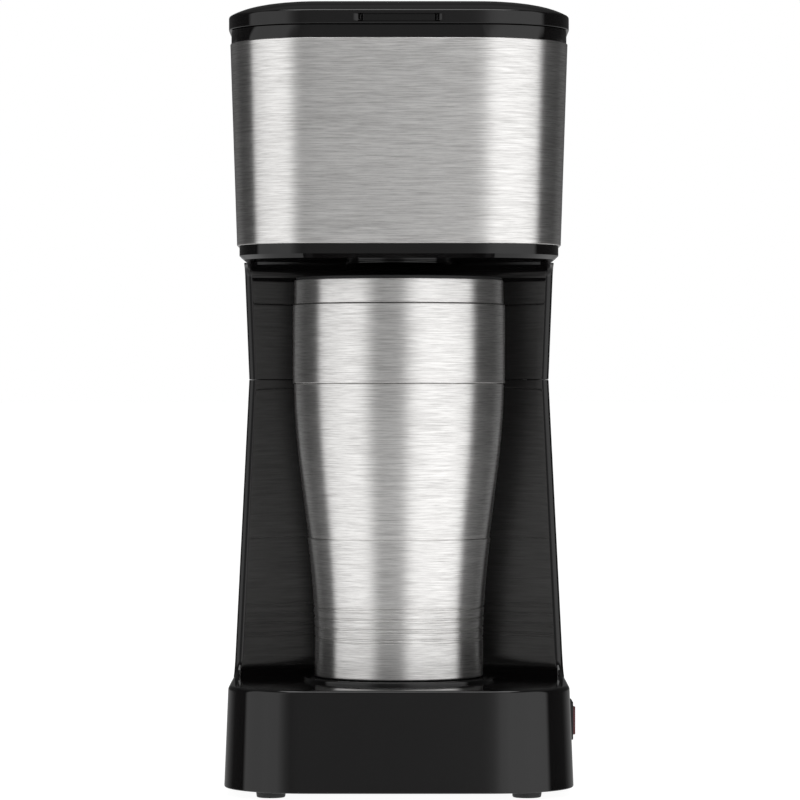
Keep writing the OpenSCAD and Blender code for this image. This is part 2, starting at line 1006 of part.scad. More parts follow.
// ---------- tumbler ----------

// Radius of the tumbler's outside at height z; the part below the seam stands slightly proud
function flare(z, z0, span) = cup_low_r
    + (cup_high_r - cup_low_r) * (1 - cos(180 * min(1, max(0, z - z0) / span))) / 2;
function cup_r(z) = z > seam_z ? flare(z, 58, 96) : flare(z, 54, 99);

// Tumbler walls between radii drawn in by in0 and in1, from height z0 to z1
module cup_wall(z0, z1, in0, in1, steps) {
    zs = [for (k = [0:steps]) z0 + (z1 - z0) * k / steps];
    rotate_extrude($fn = 128)
        polygon(concat([for (z = zs) [cup_r(z) - in0, z]],
            [for (k = [steps:-1:0]) [cup_r(zs[k]) - in1, zs[k]]]));
}

module tumbler_shell() {
    color("#c9c9c6")
        translate([0, cup_y, 0])
            difference() {
                union() {
                    cup_wall(41.9, seam_z, 0, 1, 10);
                    cup_wall(seam_z, collar_z0 - 0.2, 0, 1.3, 12);
                }
                for (z = groove_zs)
                    rotate_extrude($fn = 128)
                        translate([cup_r(z) - 0.35, z - 0.4])
                            square([2, 0.8]);
            }
}

module tumbler_liner() {
    color("#b5b5b2")
        translate([0, cup_y, 0]) {
            cup_wall(49, 150, 3, 3.9, 12);
            tube(150 - eps, 181.2, 36.8, 36);
            tube(149, 150, 36.8, 35.2);
            translate([0, 0, 48])
                cylinder(h = 1.2, r = cup_low_r - 3, $fn = 128);
        }
}

module tumbler_collar() {
    color("#cdcdca")
        translate([0, cup_y, 0]) {
            tube(collar_z0, collar_z1, collar_r, collar_r - 1);
            tube(collar_z1 - 1.4, collar_z1, collar_r - 0.5, 36.9);
        }
}

module tumbler_base() {
    color("#2a2a2c")
        translate([0, cup_y, 0])
            difference() {
                translate([0, 0, 41.6])
                    cylinder(h = 5, r = cup_low_r - 1.2, $fn = 128);
                translate([0, 0, 41])
                    cylinder(h = 1.6, r = 24, $fn = 128);
            }
}

module lid_gasket() {
    color("#d8d8d4")
        translate([0, cup_y, 0])
            tube(175, 177.5, 35.8, 34.4);
}

module tumbler_skirt() {
    color("#cdcdca")
        translate([0, cup_y, 0])
            tube(collar_z1 + 0.2, 191, skirt_r, skirt_r - 1);
}

module tumbler_cap() {
    color("#1c1c1e")
        translate([0, cup_y, 0])
            difference() {
                union() {
                    translate([0, 0, 171])
                        cylinder(h = 20, r = 34.2, $fn = 128);
                    translate([0, 0, 178])
                        cylinder(h = 12, r = 35.6, $fn = 128);
                    translate([0, 0, 186])
                        cylinder(h = 5.1, r = skirt_r - 1.1, $fn = 128);
                    translate([0, 0, 191.05])
                        cylinder(h = cup_top_z - 191.05, r = skirt_r - 0.6, $fn = 128);
                    translate([0, 0, 173.4])
                        cylinder(h = 1.4, r = 35.4, $fn = 128);
                }
                translate([0, 0, 170])
                    cylinder(h = 17.5, r = 32.4, $fn = 128);
                translate([0, 0, 189.6])
                    cylinder(h = 10, r = 36.2, $fn = 128);
                translate([0, -25, 180])
                    cylinder(h = 20, r = 3.2, $fn = 32);
                translate([0, 24, 180])
                    cylinder(h = 20, r = 1, $fn = 24);
            }
}

module drink_slider() {
    color("#2c2c2f")
        translate([0, cup_y - 23, 189.75])
            difference() {
                union() {
                    translate([-8, -8, 0])
                        cube([16, 18, 1.3]);
                    translate([0, 10, 0])
                        cylinder(h = 1.3, r = 8, $fn = round_fn);
                    translate([-6, 6, 1.2])
                        cube([12, 2.4, 1]);
                }
            }
}

lower_housing();
upper_housing();
bottom_cover();
rubber_feet();
cover_screws();
housing_screws();
mug_rest();
head_lower_trim();
steel_wrap();
top_frame();
water_tank();
tank_seal();
cold_hoses();
check_valve_body();
check_ball();
heater_block();
heater_water_tube();
heating_element();
heater_terminals();
heater_straps();
strap_screws();
thermostat();
thermal_fuse();
hot_hose();
hose_clamps();
riser_spout();
brew_funnel();
drip_outlet();
filter_frame();
filter_mesh();
cable_gland();
gland_nut();
switch_frame();
switch_rocker();
switch_terminals();
supply_leads();
hinge_pins();
lid_cover();
lid_panel();
lid_duct();
lid_seal();
shower_plate();
tumbler_shell();
tumbler_liner();
tumbler_collar();
tumbler_base();
lid_gasket();
tumbler_skirt();
tumbler_cap();
drink_slider();
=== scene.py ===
"""Looks of a single-serve drip coffee maker and its steel travel tumbler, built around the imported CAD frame.

Shapes are written in millimetres in the CAD frame (+Z up, front towards -Y); the mesh helpers turn them
into metres.
"""

import json
import math

import bmesh
import bpy
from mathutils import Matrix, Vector


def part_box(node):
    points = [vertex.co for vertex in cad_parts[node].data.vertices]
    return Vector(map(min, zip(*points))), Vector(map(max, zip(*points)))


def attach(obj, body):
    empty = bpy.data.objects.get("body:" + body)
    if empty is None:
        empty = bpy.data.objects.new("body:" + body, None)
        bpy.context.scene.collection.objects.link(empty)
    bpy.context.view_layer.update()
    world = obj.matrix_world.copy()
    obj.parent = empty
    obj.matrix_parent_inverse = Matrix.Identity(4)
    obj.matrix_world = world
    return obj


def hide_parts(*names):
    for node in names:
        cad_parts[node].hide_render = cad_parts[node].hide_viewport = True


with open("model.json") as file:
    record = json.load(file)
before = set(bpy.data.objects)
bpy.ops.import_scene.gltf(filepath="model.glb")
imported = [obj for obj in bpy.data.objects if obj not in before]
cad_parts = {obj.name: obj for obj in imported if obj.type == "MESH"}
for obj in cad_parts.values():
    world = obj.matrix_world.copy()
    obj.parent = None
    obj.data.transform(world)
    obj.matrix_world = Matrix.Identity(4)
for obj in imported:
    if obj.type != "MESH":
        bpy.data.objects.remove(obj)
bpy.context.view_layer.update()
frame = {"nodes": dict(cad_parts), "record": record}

MM = 0.001
SLOT_OF = {s["node"]: s["material_slot"] for s in frame["record"]["subparts"]}
BODY_OF = {n: b for b, ns in frame["record"]["behaviour"]["bodies"].items() for n in ns}


def mm_box(node):
    """Lowest and highest corner of a CAD node, in millimetres."""
    low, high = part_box(node)
    return low / MM, high / MM


def middle(node):
    """Middle of a CAD node's box, in millimetres."""
    low, high = mm_box(node)
    return (low + high) / 2


# ---------- sizes, in millimetres, from the frame where it gives them ----------

# The core outline, which the walls' offsets are measured from, and its corner radii.
CORE_HALF_W, CORE_HALF_D = 60.4, 78.5
BASE_R, HEAD_R = 26.0, 30.0
REAR_START_Y = 26.0
WALL = 2.5
SEAM = 0.06

# Heights of the main levels, from the feet up, and the place of the tumbler's axis.
FOOT_H = mm_box("lower_housing")[0].z
DECK_Z = mm_box("mug_rest")[0].z
WAIST_Z = mm_box("upper_housing")[0].z
HEAD_Z = mm_box("head_lower_trim")[0].z
FLOOR_Z = HEAD_Z + 0.5
STEEL_Z0, STEEL_Z1 = (corner.z for corner in mm_box("steel_wrap"))
CUP_Y = middle("tumbler_collar").y

# Outward offsets of the base and the column, and the radii of their edges.
BASE_LOW_OUT, BASE_HIGH_OUT = 4.5, 3.0
BASE_RIM_R, BASE_FOOT_R = 1.6, 0.5
COLUMN_LOW_OUT, WAIST_OUT, COLUMN_HIGH_OUT = 2.6, -2.6, -0.9
COLUMN_EDGE_R = 2.2

# The hollow front of the column: a cone about an upright axis, blended into the deck and the head.
NICHE_CY = -125.0
NICHE_R, NICHE_LOW_R, NICHE_HIGH_R = 150.0, 145.7, 148.7
HEAD_BLEND = 5.0
FOOT_BLEND_H, FOOT_BLEND_R = 8.0, 7.0

# Rounded edges at the waist's seam, as (inset, distance from the edge), and where they end.
SEAM_EDGE = ((0.22, 0), (0.1, 0.04), (0.03, 0.12))
SEAM_EDGE_END = 0.35


# ---------- outline shared by the base, the column and the head ----------

def core_quarter(corner_r):
    """Points (x, y, normal x, normal y) from the front's middle to the side's middle.

    The faces are bowed a little and the curvature of the corner grows and fades over a short run.
    """
    straight_x = CORE_HALF_W - corner_r
    straight_y = CORE_HALF_D - corner_r
    arc = corner_r * math.pi / 2
    ease = 9.0
    steps = 3000
    bow_x, bow_y = math.radians(0.7), math.radians(0.5)
    corner_k = (math.pi / 2 - bow_x - bow_y) / arc
    face_kx, face_ky = bow_x / straight_x, bow_y / straight_y

    def curvature(s):
        up = min(1, max(0, (s - straight_x + ease / 2) / ease))
        down = min(1, max(0, (s - straight_x - arc + ease / 2) / ease))
        return face_kx + (corner_k - face_kx) * up + (face_ky - corner_k) * down

    total = straight_x + arc + straight_y
    step = total / steps
    path, x, y, turn = [], 0.0, 0.0, 0.0
    for k in range(steps + 1):
        path.append((x, y, turn))
        bend = curvature((k + 0.5) * step) * step
        x += math.cos(turn + bend / 2) * step
        y += math.sin(turn + bend / 2) * step
        turn += bend
    end_x, end_y, end_turn = path[-1]
    fit_x, fit_y, fit_t = CORE_HALF_W / end_x, CORE_HALF_D / end_y, math.pi / 2 / end_turn
    corner_start, corner_end = straight_x - ease / 2, straight_x + arc + ease / 2
    stops = spread(0, corner_start, 26) + spread(corner_start, corner_end, 34)
    stops += spread(corner_end, total, 16) + [total]
    found = []
    for s in stops:
        px, py, t = path[min(steps, round(s / step))]
        t *= fit_t
        found.append((px * fit_x, py * fit_y - CORE_HALF_D, math.sin(t), -math.cos(t)))
    return found


def spread(a, b, n):
    """n values from a towards b, b left out."""
    return [a + (b - a) * k / n for k in range(n)]


def full_outline(quarter):
    """The whole outline, counter-clockwise from the front's middle."""
    right_rear = [(x, -y, nx, -ny) for x, y, nx, ny in reversed(quarter)][1:]
    right = quarter + right_rear
    left = [(-x, y, -nx, ny) for x, y, nx, ny in reversed(right)][1:-1]
    return right + left


BASE_OUTLINE = full_outline(core_quarter(BASE_R))
HEAD_OUTLINE = full_outline(core_quarter(HEAD_R))
REAR_HALF = [p for p in HEAD_OUTLINE[:len(HEAD_OUTLINE) // 2 + 1] if p[1] > REAR_START_Y]


def base_ring(out, z):
    """The base's outline at height z, offset outwards."""
    return [(x + nx * out, y + ny * out, z) for x, y, nx, ny in BASE_OUTLINE]


def ring(out, z):
    """The head's outline at height z, offset outwards."""
    return [(x + nx * out, y + ny * out, z) for x, y, nx, ny in HEAD_OUTLINE]


def column_ring(z, out, niche_r, inset=0.0):
    """The column's C-shaped outline: hollow front, rounded front edges, the shared outline behind."""
    niche_steps, edge_steps = 24, 10
    half_w = CORE_HALF_W + out - inset
    front_r = niche_r + inset
    edge_r = max(0.4, COLUMN_EDGE_R - inset)
    cx = half_w - edge_r
    cy = NICHE_CY + math.sqrt((front_r + edge_r) ** 2 - cx ** 2)
    tangent = math.atan2(cx, cy - NICHE_CY)
    turns = [tangent * k / niche_steps for k in range(niche_steps + 1)]
    right = [(front_r * math.sin(a), NICHE_CY + front_r * math.cos(a), z) for a in turns]
    start = -math.pi / 2 - tangent
    for k in range(1, edge_steps + 1):
        a = start * (1 - k / edge_steps)
        right.append((cx + edge_r * math.cos(a), cy + edge_r * math.sin(a), z))
    right += [(x + nx * (out - inset), y + ny * (out - inset), z) for x, y, nx, ny in REAR_HALF]
    left = [(-x, y, z) for x, y, z in reversed(right)][1:-1]
    return right + left


# ---------- mesh helpers ----------

def new_mesh_object(name, bm):
    """Turns bm into a linked object with its faces outwards."""
    mesh = bpy.data.meshes.new(name)
    bmesh.ops.recalc_face_normals(bm, faces=bm.faces)
    bm.to_mesh(mesh)
    bm.free()
    obj = bpy.data.objects.new(name, mesh)
    bpy.context.scene.collection.objects.link(obj)
    return obj


def add_loft(bm, rings, closed=False):
    """Skin through rings of equal count. Open ends are capped unless the rings close on themselves."""
    rows = [[bm.verts.new(Vector(p) * MM) for p in r] for r in rings]
    count = len(rows[0])
    pairs = list(zip(rows, rows[1:])) + ([(rows[-1], rows[0])] if closed else [])
    for low, high in pairs:
        for i in range(count):
            j = (i + 1) % count
            bm.faces.new((low[i], low[j], high[j], high[i]))
    if not closed:
        bm.faces.new(list(reversed(rows[0])))
        bm.faces.new(rows[-1])


def add_lathe(bm, profile, centre, segments, axis="z", along=0.0):
    """Turned shape from a closed profile of (radius, height); points on the axis become poles.

    The axis runs through centre, given in the two other directions, and heights start at along.
    """
    cx, cy = centre

    def place(r, h, a):
        u, v = r * math.cos(a), r * math.sin(a)
        if axis == "z":
            return Vector((cx + u, cy + v, h + along)) * MM
        if axis == "x":
            return Vector((h + along, cx + u, cy + v)) * MM
        return Vector((cx + u, h + along, cy + v)) * MM

    rows = []
    for r, h in profile:
        if r <= 0:
            rows.append([bm.verts.new(place(0, h, 0))])
        else:
            rows.append([bm.verts.new(place(r, h, 2 * math.pi * k / segments)) for k in range(segments)])
    for k, low in enumerate(rows):
        high = rows[(k + 1) % len(rows)]
        if len(low) == 1 and len(high) == 1:
            continue
        for i in range(segments):
            j = (i + 1) % segments
            if len(low) == 1:
                bm.faces.new((low[0], high[j], high[i]))
            elif len(high) == 1:
                bm.faces.new((low[i], low[j], high[0]))
            else:
                bm.faces.new((low[i], low[j], high[j], high[i]))


def add_block(bm, low, high):
    """Plain box used as a cutting tool."""
    size = Vector(high) - Vector(low)
    made = bmesh.ops.create_cube(bm, size=1)
    for v in made["verts"]:
        v.co = (Vector(low) + Vector([(v.co[i] + 0.5) * size[i] for i in range(3)])) * MM


def cut(obj, cutters):
    """Takes cutting shapes out of obj one after another and bakes the result into its mesh."""
    for add in cutters:
        bm = bmesh.new()
        add(bm)
        tool = new_mesh_object("tool", bm)
        mod = obj.modifiers.new("cut", "BOOLEAN")
        mod.object = tool
        mod.operation = "DIFFERENCE"
        mod.solver = "EXACT"
        baked = bpy.data.meshes.new_from_object(obj.evaluated_get(bpy.context.evaluated_depsgraph_get()))
        obj.modifiers.clear()
        obj.data = baked
        bpy.data.objects.remove(tool)


def soften(obj, sharp_deg):
    """Smooth shading that keeps edges over an angle sharp and large faces flat."""
    obj.data.shade_smooth()
    obj.data.set_sharp_from_angle(angle=math.radians(sharp_deg))
    mod = obj.modifiers.new("weighted", "WEIGHTED_NORMAL")
    mod.keep_sharp = True
    mod.weight = 80


def piece(name, node, add_parts, sharp_deg=32.0, cut_part=None, cutters=()):
    """Builds one visible piece that stands for a CAD node, on that node's body and with its finish.

    cut_part is the closed part that the cutters go through; add_parts stay whole.
    """
    bm = bmesh.new()
    if cut_part:
        cut_part(bm)
        obj = new_mesh_object(name, bm)
        cut(obj, cutters)
        bm = bmesh.new()
        bm.from_mesh(obj.data)
        bpy.data.objects.remove(obj)
    for add in add_parts:
        add(bm)
    obj = new_mesh_object(name, bm)
    soften(obj, sharp_deg)
    obj.data.materials.clear()
    obj.data.materials.append(FINISHES[SLOT_OF[node]])
    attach(obj, BODY_OF[node])
    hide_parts(node)
    return obj


def turned_piece(name, node, profile, segments, centre=None, axis="z", sharp_deg=32.0):
    """One visible piece turned about the tumbler's axis, or about another centre and axis."""
    centre = centre or (0, CUP_Y)
    piece(name, node, [lambda bm: add_lathe(bm, profile, centre, segments, axis)], sharp_deg)


def quarter_round(r0, z0, radius, start_deg, end_deg, steps=5):
    """Points (r, z) on an arc about (r0, z0)."""
    found = []
    for k in range(steps + 1):
        a = math.radians(start_deg + (end_deg - start_deg) * k / steps)
        found.append((r0 + radius * math.cos(a), z0 + radius * math.sin(a)))
    return found


def rounded_profile(corners, radius=0.4, steps=4):
    """Closed profile of (r, z) corners, each rounded; a corner may carry its own radius as a third value."""
    found = []
    count = len(corners)
    for i, corner in enumerate(corners):
        p = Vector(corner[:2])
        r = corner[2] if len(corner) > 2 else radius
        before = Vector(corners[i - 1][:2]) - p
        after = Vector(corners[(i + 1) % count][:2]) - p
        if r <= 0 or p.x <= 0:
            found.append((p.x, p.y))
            continue
        half = before.angle(after) / 2
        longest = 0.45 * min(before.length, after.length)
        reach = min(r / math.tan(half), longest)
        r = reach * math.tan(half)
        inwards = (before.normalized() + after.normalized()).normalized()
        centre = p + inwards * (r / math.sin(half))
        a = p + before.normalized() * reach - centre
        b = p + after.normalized() * reach - centre
        swing = math.atan2(a.x * b.y - a.y * b.x, a.dot(b))
        for k in range(steps + 1):
            t = swing * k / steps
            found.append((centre.x + a.x * math.cos(t) - a.y * math.sin(t),
                          centre.y + a.x * math.sin(t) + a.y * math.cos(t)))
    return found


# ---------- materials ----------

class Finish:
    """A principled material with short calls for the nodes that give it detail.

    Pattern scales are in cycles per metre, and bump depths in metres.
    """

    def __init__(self, name, colour, roughness, metallic=0.0, **constants):
        self.mat = bpy.data.materials.new(name)
        self.mat.use_nodes = True
        self.nodes = self.mat.node_tree.nodes
        self.links = self.mat.node_tree.links
        self.shader = self.nodes["Principled BSDF"]
        self.set("Base Color", (*colour, 1))
        self.set("Roughness", roughness)
        self.set("Metallic", metallic)
        for key, value in constants.items():
            self.set(key.replace("_", " "), value)
        self.colour = colour
        self.coordinates = self.nodes.new("ShaderNodeTexCoord").outputs["Object"]

    def set(self, socket, value):
        self.shader.inputs[socket].default_value = value

    def join(self, output, socket):
        self.links.new(output, self.shader.inputs[socket])

    def scaled(self, scale):
        node = self.nodes.new("ShaderNodeMapping")
        node.inputs["Scale"].default_value = scale
        self.links.new(self.coordinates, node.inputs["Vector"])
        return node.outputs[0]

    def noise(self, scale, stretch=(1, 1, 1), detail=3.0, rough=0.55, distortion=0.0):
        node = self.nodes.new("ShaderNodeTexNoise")
        self.links.new(self.scaled(stretch), node.inputs["Vector"])
        node.inputs["Scale"].default_value = scale
        node.inputs["Detail"].default_value = detail
        node.inputs["Roughness"].default_value = rough
        node.inputs["Distortion"].default_value = distortion
        return node.outputs["Fac"]

    def cells(self, scale, stretch=(1, 1, 1)):
        node = self.nodes.new("ShaderNodeTexVoronoi")
        self.links.new(self.scaled(stretch), node.inputs["Vector"])
        node.inputs["Scale"].default_value = scale
        return node.outputs["Distance"]

    def remap(self, fac, low, high, start=0.3, end=0.7):
        node = self.nodes.new("ShaderNodeMapRange")
        self.links.new(fac, node.inputs["Value"])
        for key, value in (("From Min", start), ("From Max", end), ("To Min", low), ("To Max", high)):
            node.inputs[key].default_value = value
        return node.outputs[0]

    def blend_colours(self, fac, dark, light, start=0.3, end=0.7):
        node = self.nodes.new("ShaderNodeMix")
        node.data_type = "RGBA"
        self.links.new(self.remap(fac, 0, 1, start, end), node.inputs["Factor"])
        node.inputs["A"].default_value = (*dark, 1)
        node.inputs["B"].default_value = (*light, 1)
        return node.outputs["Result"]

    def product(self, a, b):
        node = self.nodes.new("ShaderNodeMath")
        node.operation = "MULTIPLY"
        self.links.new(a, node.inputs[0])
        self.links.new(b, node.inputs[1])
        return node.outputs[0]

    def vary(self, fac, colour_share, rough_low, rough_high):
        """Colour and roughness that both wander with one pattern."""
        dark = [c * (1 - colour_share) for c in self.colour]
        light = [min(1, c * (1 + colour_share)) for c in self.colour]
        self.join(self.blend_colours(fac, dark, light), "Base Color")
        self.join(self.remap(fac, rough_low, rough_high), "Roughness")

    def bump(self, heights):
        """Chain of (height socket, strength, depth in metres)."""
        last = None
        for height, strength, depth in heights:
            node = self.nodes.new("ShaderNodeBump")
            node.inputs["Strength"].default_value = strength
            node.inputs["Distance"].default_value = depth
            self.links.new(height, node.inputs["Height"])
            if last:
                self.links.new(last, node.inputs["Normal"])
            last = node.outputs[0]
        self.join(last, "Normal")

    def brushed(self, amount):
        """Reflections drawn out upright, across a level grain."""
        node = self.nodes.new("ShaderNodeTangent")
        node.direction_type = "RADIAL"
        node.axis = "Z"
        self.join(node.outputs[0], "Tangent")
        self.set("Anisotropic", amount)
        self.set("Anisotropic Rotation", 0.25)


def gloss_black():
    """Glossy moulding with faint smears and a slight waviness."""
    f = Finish("gloss_black_moulding", (0.0034, 0.0031, 0.0032), 0.05, Specular_IOR_Level=0.5)
    smears = f.noise(28, detail=4, rough=0.6, distortion=0.4)
    f.vary(smears, 0.12, 0.035, 0.075)
    f.bump([(f.noise(170, detail=1), 0.04, 0.0002), (f.noise(2600, detail=2), 0.015, 0.00004)])
    return f.mat


def matte_black():
    """Finely textured moulding."""
    f = Finish("matte_black_moulding", (0.012, 0.012, 0.0125), 0.45)
    f.vary(f.noise(60, detail=4), 0.15, 0.4, 0.52)
    f.bump([(f.cells(1500), 0.25, 0.00005), (f.noise(3000, detail=3), 0.2, 0.00004)])
    return f.mat


def brushed_steel():
    """Level brush strokes, finer hairs between them and slow bands."""
    f = Finish("brushed_steel", (0.8, 0.79, 0.775), 0.31, 1.0)
    strokes = f.noise(1, (95, 95, 3400), detail=5, rough=0.72)
    hairs = f.noise(1, (300, 300, 9000), detail=3, rough=0.7)
    bands = f.noise(1, (10, 10, 260), detail=3)
    f.join(f.blend_colours(strokes, (0.56, 0.55, 0.54), (1.0, 0.99, 0.975), 0.32, 0.62), "Base Color")
    f.join(f.remap(bands, 0.29, 0.34), "Roughness")
    f.bump([(strokes, 0.3, 0.00006), (hairs, 0.25, 0.00003)])
    f.brushed(0.9)
    return f.mat


def inner_steel():
    """Drawn steel, less brushed."""
    f = Finish("inner_steel", (0.66, 0.655, 0.64), 0.28, 1.0)
    f.vary(f.noise(1, (40, 40, 900), detail=3), 0.06, 0.22, 0.34)
    f.bump([(f.noise(1, (60, 60, 1800), detail=3), 0.15, 0.00004)])
    return f.mat


def zinc_steel():
    """Plated fasteners."""
    f = Finish("zinc_steel", (0.58, 0.58, 0.56), 0.32, 1.0)
    f.vary(f.noise(400, detail=4), 0.12, 0.26, 0.42)
    f.bump([(f.cells(1400), 0.12, 0.00004)])
    return f.mat


def steel_ball():
    """Polished ball."""
    f = Finish("steel_ball", (0.7, 0.7, 0.7), 0.12, 1.0)
    f.vary(f.noise(700, detail=3), 0.05, 0.08, 0.16)
    f.bump([(f.noise(2500, detail=2), 0.05, 0.00002)])
    return f.mat


def element_steel():
    """Heat-stained sheath."""
    f = Finish("element_steel", (0.25, 0.245, 0.24), 0.42, 1.0)
    f.vary(f.noise(160, detail=5), 0.25, 0.34, 0.55)
    f.bump([(f.noise(900, detail=4), 0.2, 0.00006)])
    return f.mat


def brass():
    """Dull brass."""
    f = Finish("brass", (0.72, 0.5, 0.2), 0.3, 1.0)
    f.vary(f.noise(260, detail=4), 0.14, 0.24, 0.42)
    f.bump([(f.noise(1800, detail=3), 0.12, 0.00004)])
    return f.mat


def cast_aluminium():
    """Cast skin with pits."""
    f = Finish("cast_aluminium", (0.56, 0.57, 0.58), 0.5, 1.0)
    f.vary(f.noise(120, detail=5), 0.14, 0.42, 0.6)
    f.bump([(f.noise(800, detail=5, rough=0.7), 0.5, 0.00015), (f.cells(500), 0.2, 0.0001)])
    return f.mat


def rubber_black():
    """Dull rubber."""
    f = Finish("rubber_black", (0.016, 0.016, 0.016), 0.7, Sheen_Weight=0.2)
    f.vary(f.noise(240, detail=4), 0.2, 0.6, 0.8)
    f.bump([(f.noise(2200, detail=4), 0.3, 0.00006)])
    return f.mat


def silicone():
    """Red-brown seals."""
    f = Finish("silicone", (0.42, 0.07, 0.045), 0.42, Subsurface_Weight=0.2)
    f.vary(f.noise(180, detail=4), 0.1, 0.36, 0.5)
    f.bump([(f.noise(1500, detail=3), 0.15, 0.00006)])
    return f.mat


def clear_plastic(name, tint, milk):
    """Clear plastic with a share of milkiness."""
    f = Finish(name, tint, 0.12, Transmission_Weight=1 - milk, IOR=1.49)
    f.vary(f.noise(90, detail=3), 0.04, 0.08, 0.18)
    f.bump([(f.noise(240, detail=2), 0.08, 0.0002)])
    return f.mat


def tank_clear():
    return clear_plastic("tank_clear", (0.78, 0.81, 0.84), 0.25)


def hose_clear():
    return clear_plastic("hose_clear", (0.84, 0.84, 0.8), 0.5)


def white_plastic():
    """White moulding."""
    f = Finish("white_plastic", (0.78, 0.78, 0.75), 0.35)
    f.vary(f.noise(100, detail=4), 0.03, 0.3, 0.42)
    f.bump([(f.noise(1600, detail=3), 0.12, 0.00005)])
    return f.mat


def ceramic():
    """Unglazed ceramic."""
    f = Finish("ceramic", (0.7, 0.66, 0.56), 0.4)
    f.vary(f.noise(300, detail=5), 0.06, 0.34, 0.5)
    f.bump([(f.noise(1500, detail=4), 0.2, 0.00006)])
    return f.mat


def fuse_sleeve():
    """Woven sleeve."""
    f = Finish("fuse_sleeve", (0.8, 0.78, 0.7), 0.6)
    weave = f.product(f.cells(1, (1400, 1400, 900)), f.noise(500))
    f.vary(weave, 0.08, 0.55, 0.7)
    f.bump([(weave, 0.4, 0.0001)])
    return f.mat


def filter_brown():
    """Tinted filter moulding."""
    f = Finish("filter_brown", (0.05, 0.035, 0.026), 0.4)
    f.vary(f.noise(120, detail=4), 0.2, 0.34, 0.5)
    f.bump([(f.noise(1600, detail=3), 0.15, 0.00005)])
    return f.mat


def mesh_gold():
    """Woven gold-toned mesh; its holes are bumped and darkened with painted shade."""
    f = Finish("mesh_gold", (0.6, 0.47, 0.25), 0.35, 1.0)
    holes_and_hole_shade = f.cells(1, (2200, 2200, 2200))
    # Painted shade: near-black colour in each hole stands for the shade seen through the mesh, not the mesh's
    # own colour.
    f.join(f.blend_colours(holes_and_hole_shade, (0.12, 0.09, 0.045), (0.68, 0.54, 0.3), 0.15, 0.45), "Base Color")
    f.bump([(holes_and_hole_shade, 0.6, 0.00012)])
    return f.mat


def rocker_red():
    """Dark red translucent rocker."""
    f = Finish("rocker_red", (0.12, 0.003, 0.008), 0.16, Transmission_Weight=0.25, IOR=1.49, Coat_Weight=0.2,
               Coat_Roughness=0.05, Specular_IOR_Level=0.35)
    f.vary(f.noise(220, detail=3), 0.12, 0.12, 0.22)
    f.bump([(f.noise(900, detail=2), 0.05, 0.00004)])
    return f.mat


def wire_blue():
    """Wire insulation."""
    f = Finish("wire_blue", (0.03, 0.08, 0.3), 0.4)
    f.vary(f.noise(150, detail=4), 0.1, 0.34, 0.5)
    f.bump([(f.noise(900, detail=3), 0.15, 0.00005)])
    return f.mat


FINISHES = {make.__name__: make() for make in (
    gloss_black, matte_black, brushed_steel, inner_steel, zinc_steel, steel_ball, element_steel, brass,
    cast_aluminium, rubber_black, silicone, tank_clear, hose_clear, white_plastic, ceramic, fuse_sleeve,
    filter_brown, mesh_gold, rocker_red, wire_blue)}


# ---------- housing ----------

def fillet_share(t):
    """Share of a concave blend's reach, for t from its far end (0) to the surface it runs into (1)."""
    return 1 - math.sqrt(max(0, 1 - t * t))


def base_out(z):
    """Outward offset of the base's wall at height z."""
    return BASE_LOW_OUT + (BASE_HIGH_OUT - BASE_LOW_OUT) * (z - FOOT_H) / (DECK_Z - FOOT_H)


def base_shell(bm):
    """The base, open inside and closed by its bottom rim, from the inside round to the deck."""
    foot, rim_z = base_out(FOOT_H), DECK_Z - BASE_RIM_R
    profile = [(BASE_HIGH_OUT - WALL, DECK_Z - WALL), (foot - WALL, FOOT_H + 1), (foot - WALL, FOOT_H)]
    profile += quarter_round(foot - BASE_FOOT_R, FOOT_H + BASE_FOOT_R, BASE_FOOT_R, -90, 0)
    profile += [(base_out(z), z) for z in (FOOT_H + 2, 12, 21, 30, rim_z - 1)]
    profile += quarter_round(BASE_HIGH_OUT - BASE_RIM_R + 0.05, rim_z, BASE_RIM_R, 2, 90, 7)
    profile += [(BASE_HIGH_OUT - BASE_RIM_R - inset, DECK_Z) for inset in (1, 4, 10, 18)]
    add_loft(bm, [base_ring(out, z) for out, z in profile])


def lower_column(bm):
    """Lower half of the column, with its hollow front blended into the deck."""
    start_z, top = DECK_Z + 5, WAIST_Z - SEAM
    blend_end, last = DECK_Z + FOOT_BLEND_H, top - SEAM_EDGE_END
    foot = DECK_Z - BASE_RIM_R

    def at(z, inset=0.0):
        t = min(1, max(0, (blend_end - z) / FOOT_BLEND_H))
        share = (z - start_z) / (WAIST_Z - start_z)
        out = COLUMN_LOW_OUT + (WAIST_OUT - COLUMN_LOW_OUT) * share
        niche_r = NICHE_LOW_R + (NICHE_R - NICHE_LOW_R) * max(0, share)
        return column_ring(z, out, niche_r - FOOT_BLEND_R * fillet_share(t), inset)

    heights = [foot] + [DECK_Z + FOOT_BLEND_H * (1 - math.cos(math.pi / 2 * k / 10)) for k in range(11)]
    heights += [blend_end + (last - blend_end) * k / 8 for k in range(1, 9)]
    rings = [at(z) for z in heights]
    rings += [at(top - down, inset) for inset, down in reversed(SEAM_EDGE)]
    rings += [at(z, WALL) for z in (top, blend_end, foot)]
    add_loft(bm, rings, closed=True)


def lower_housing():
    switch, gland = middle("switch_frame"), middle("cable_gland")
    hole_x0, hole_x1 = (corner.x + 6 for corner in mm_box("switch_frame"))
    half_l, half_h = 9.4, 6.3
    gland_r, rear_y0, rear_y1 = 4.5, 72, 90

    def switch_hole(bm):
        low = (hole_x0, switch.y - half_l, switch.z - half_h)
        add_block(bm, low, (hole_x1, switch.y + half_l, switch.z + half_h))

    def gland_hole(bm):
        profile = [(0, rear_y0), (gland_r, rear_y0), (gland_r, rear_y1), (0, rear_y1)]
        add_lathe(bm, profile, (gland.x, gland.z), 48, "y")

    piece("housing_lower", "lower_housing", [lower_column], cut_part=base_shell,
          cutters=[switch_hole, gland_hole])


